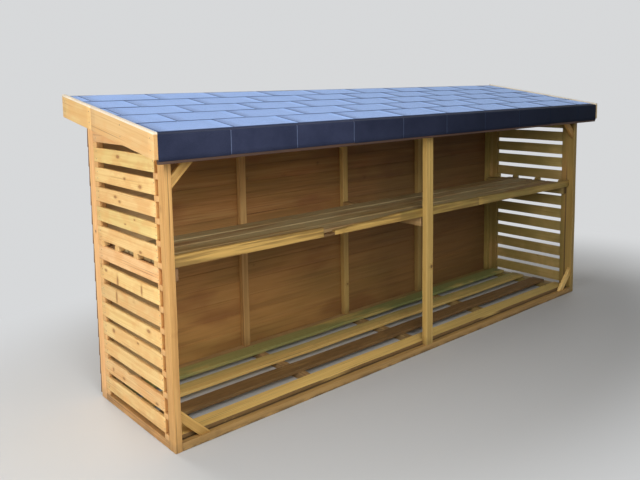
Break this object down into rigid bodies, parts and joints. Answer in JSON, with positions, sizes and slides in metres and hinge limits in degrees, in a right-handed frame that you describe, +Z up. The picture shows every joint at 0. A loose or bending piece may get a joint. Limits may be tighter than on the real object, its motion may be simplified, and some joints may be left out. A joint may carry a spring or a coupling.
{
  "type": "log store",
  "caption": "Open-fronted timber log store with a lean-to felt shingle roof, slatted sides, a clad back, a raised slatted floor and a shelf at mid height.",
  "frame": {"origin": "centre of the bounding box in plan, at ground level", "axes": "+X along the length to the right as seen from the open front, +Y from the open front to the back, +Z up"},
  "size_m": [3.524, 0.933, 1.5566],
  "materials": {
    "frame_timber": "sawn, stained honey brown",
    "slat_timber": "sawn, stained honey brown",
    "cladding_timber": "stained red-brown",
    "board_timber": "weathered, green with algae in places",
    "barge_timber": "planed, weathered pale",
    "shingle_felt": "blue-grey mineral surface",
    "skirt_felt": "near-black mineral surface"
  },
  "bodies": {
    "root": {"front_left_post": "frame_timber", "front_right_post": "frame_timber", "centre_post": "frame_timber", "back_left_post": "frame_timber", "back_right_post": "frame_timber", "back_studs": "frame_timber", "left_front_stile": "frame_timber", "left_back_stile": "frame_timber", "right_front_stile": "frame_timber", "right_back_stile": "frame_timber", "left_bottom_rail": "frame_timber", "right_bottom_rail": "frame_timber", "left_top_rail": "frame_timber", "right_top_rail": "frame_timber", "left_side_slats": "slat_timber", "right_side_slats": "slat_timber", "front_sill": "frame_timber", "back_sill": "frame_timber", "floor_bearers": "frame_timber", "floor_boards": "board_timber", "front_top_rail": "frame_timber", "back_top_rail": "frame_timber", "shelf_front_rail": "board_timber", "shelf_bearers": "frame_timber", "shelf_boards": "board_timber", "brace_bottom_left": "frame_timber", "brace_bottom_right": "frame_timber", "brace_top_left": "frame_timber", "brace_top_right": "frame_timber", "back_cladding": "cladding_timber", "left_end_rafter": "frame_timber", "right_end_rafter": "frame_timber", "rafters": "frame_timber", "roof_boards": "board_timber", "front_fascia": "frame_timber", "back_fascia": "frame_timber", "left_bargeboard": "barge_timber", "right_bargeboard": "barge_timber", "roof_shingles": "shingle_felt", "front_felt_skirt": "skirt_felt", "back_felt_skirt": "skirt_felt"}
  },
  "joints": []
}
